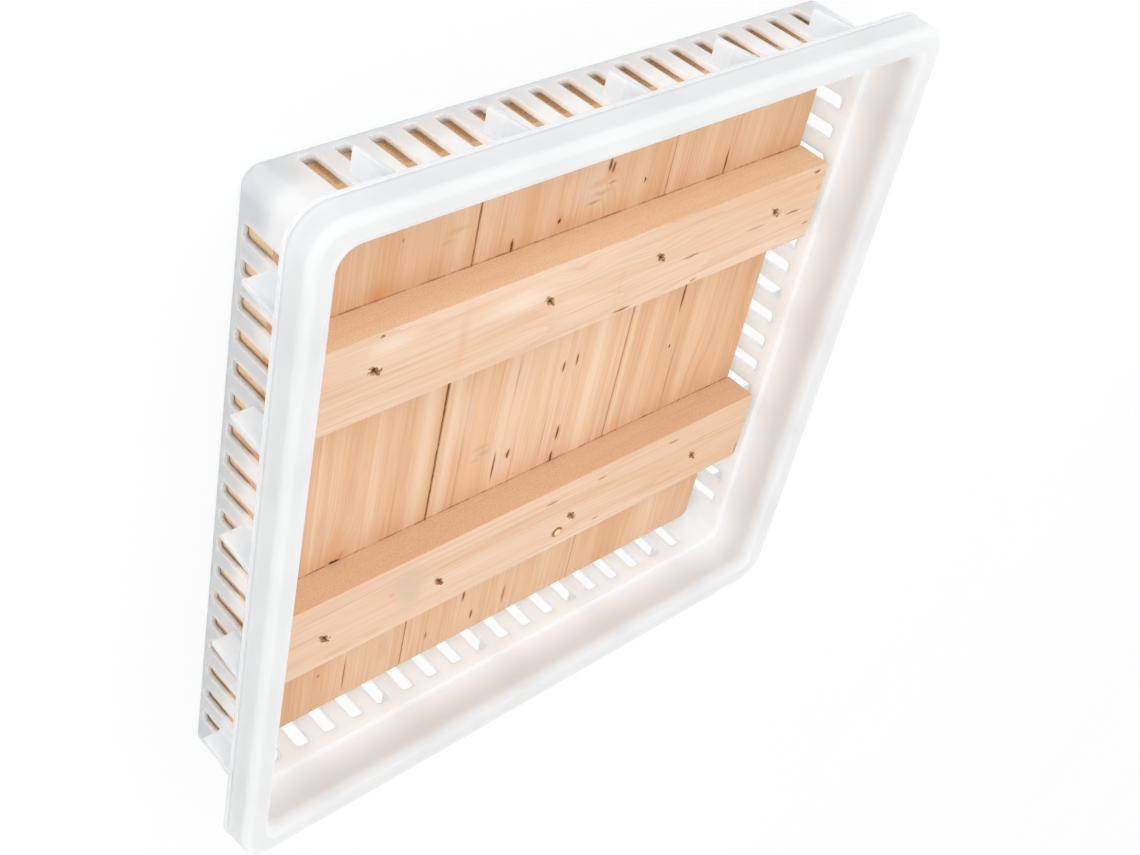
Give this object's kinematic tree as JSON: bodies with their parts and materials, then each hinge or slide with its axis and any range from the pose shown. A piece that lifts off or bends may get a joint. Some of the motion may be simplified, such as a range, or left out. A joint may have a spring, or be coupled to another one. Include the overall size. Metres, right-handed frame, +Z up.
{
  "type": "tofu press",
  "caption": "Square slotted plastic moulding tray with a turned-down rim, holding a nailed wooden pressing board that lifts out.",
  "frame": {"origin": "middle of the tray's underside", "axes": "+Z up out of the tray, X along the battens, -Y towards the front batten"},
  "size_m": [0.4422, 0.4422, 0.078],
  "materials": {
    "tray_plastic": "satin, slightly translucent",
    "plank_wood": "sawn and worn, unpainted",
    "batten_wood": "planed and worn, unpainted",
    "nail_steel": "dark, stained"
  },
  "bodies": {
    "tray": {"tray": "tray_plastic"},
    "press_board": {"plank_left": "plank_wood", "plank_middle": "plank_wood", "plank_right": "plank_wood", "batten_front": "batten_wood", "batten_rear": "batten_wood", "nail_front_1": "nail_steel", "nail_front_2": "nail_steel", "nail_front_3": "nail_steel", "nail_front_4": "nail_steel", "nail_rear_1": "nail_steel", "nail_rear_2": "nail_steel", "nail_rear_3": "nail_steel", "nail_rear_4": "nail_steel"}
  },
  "joints": [
    {"name": "board_lift", "type": "slide", "parent": "tray", "child": "press_board", "axis": [0, 0, 1], "range_m": [0, 0.11]}
  ]
}
